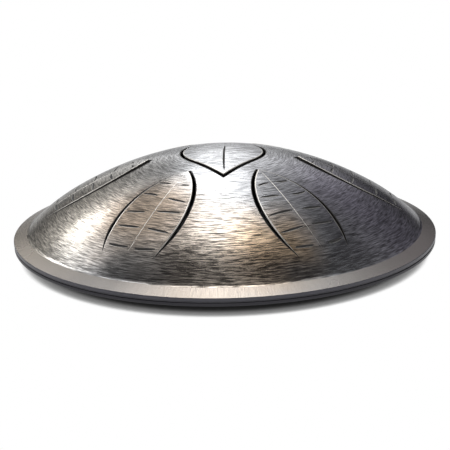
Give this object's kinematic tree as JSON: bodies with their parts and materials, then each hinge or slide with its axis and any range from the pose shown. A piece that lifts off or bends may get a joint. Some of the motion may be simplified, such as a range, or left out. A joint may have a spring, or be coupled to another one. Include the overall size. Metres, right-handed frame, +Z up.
{
  "type": "tongue drum",
  "caption": "Low domed steel drum with leaf-shaped tongues slotted in its top, a sloping brim, and a shallow pan with a sound port and rubber feet below.",
  "frame": {"origin": "on the ground under the middle of the drum, at the level of the feet", "axes": "+Z up through the crown of the dome; the middle leaf's tip points along -Y, towards the viewer"},
  "size_m": [0.3, 0.3, 0.071],
  "materials": {
    "drum_steel": "ring-ground steel with a dark patina under clear lacquer",
    "pan_steel": "dark patinated spun steel",
    "rim_bond": "black sealing adhesive",
    "foot_rubber": "moulded black rubber"
  },
  "bodies": {
    "drum": {"top_shell": "drum_steel", "bottom_pan": "pan_steel", "rim_seal": "rim_bond", "foot_1": "foot_rubber", "foot_2": "foot_rubber", "foot_3": "foot_rubber", "foot_4": "foot_rubber"},
    "center_leaf": {"center_tongue": "drum_steel"},
    "leaf_1": {"tongue_1": "drum_steel"},
    "leaf_2": {"tongue_2": "drum_steel"},
    "leaf_3": {"tongue_3": "drum_steel"},
    "leaf_4": {"tongue_4": "drum_steel"},
    "leaf_5": {"tongue_5": "drum_steel"},
    "leaf_6": {"tongue_6": "drum_steel"}
  },
  "joints": [
    {"name": "center_flex", "type": "hinge", "parent": "drum", "child": "center_leaf", "pos_m": [0, 0.026, 0.06793], "axis": [-1, 0, 0], "range_deg": [-0.6, 0.6], "stiffness_Nm_per_rad": 20},
    {"name": "leaf_1_flex", "type": "hinge", "parent": "drum", "child": "leaf_1", "pos_m": [0.0615, -0.10652, 0.02993], "axis": [0.866, 0.5, 0], "range_deg": [-0.6, 0.6], "stiffness_Nm_per_rad": 20},
    {"name": "leaf_2_flex", "type": "hinge", "parent": "drum", "child": "leaf_2", "pos_m": [0.123, 0, 0.02993], "axis": [0, 1, 0], "range_deg": [-0.6, 0.6], "stiffness_Nm_per_rad": 20},
    {"name": "leaf_3_flex", "type": "hinge", "parent": "drum", "child": "leaf_3", "pos_m": [0.0615, 0.10652, 0.02993], "axis": [-0.866, 0.5, 0], "range_deg": [-0.6, 0.6], "stiffness_Nm_per_rad": 20},
    {"name": "leaf_4_flex", "type": "hinge", "parent": "drum", "child": "leaf_4", "pos_m": [-0.0615, 0.10652, 0.02993], "axis": [-0.866, -0.5, 0], "range_deg": [-0.6, 0.6], "stiffness_Nm_per_rad": 20},
    {"name": "leaf_5_flex", "type": "hinge", "parent": "drum", "child": "leaf_5", "pos_m": [-0.123, 0, 0.02993], "axis": [0, -1, 0], "range_deg": [-0.6, 0.6], "stiffness_Nm_per_rad": 20},
    {"name": "leaf_6_flex", "type": "hinge", "parent": "drum", "child": "leaf_6", "pos_m": [-0.0615, -0.10652, 0.02993], "axis": [0.866, -0.5, 0], "range_deg": [-0.6, 0.6], "stiffness_Nm_per_rad": 20}
  ]
}
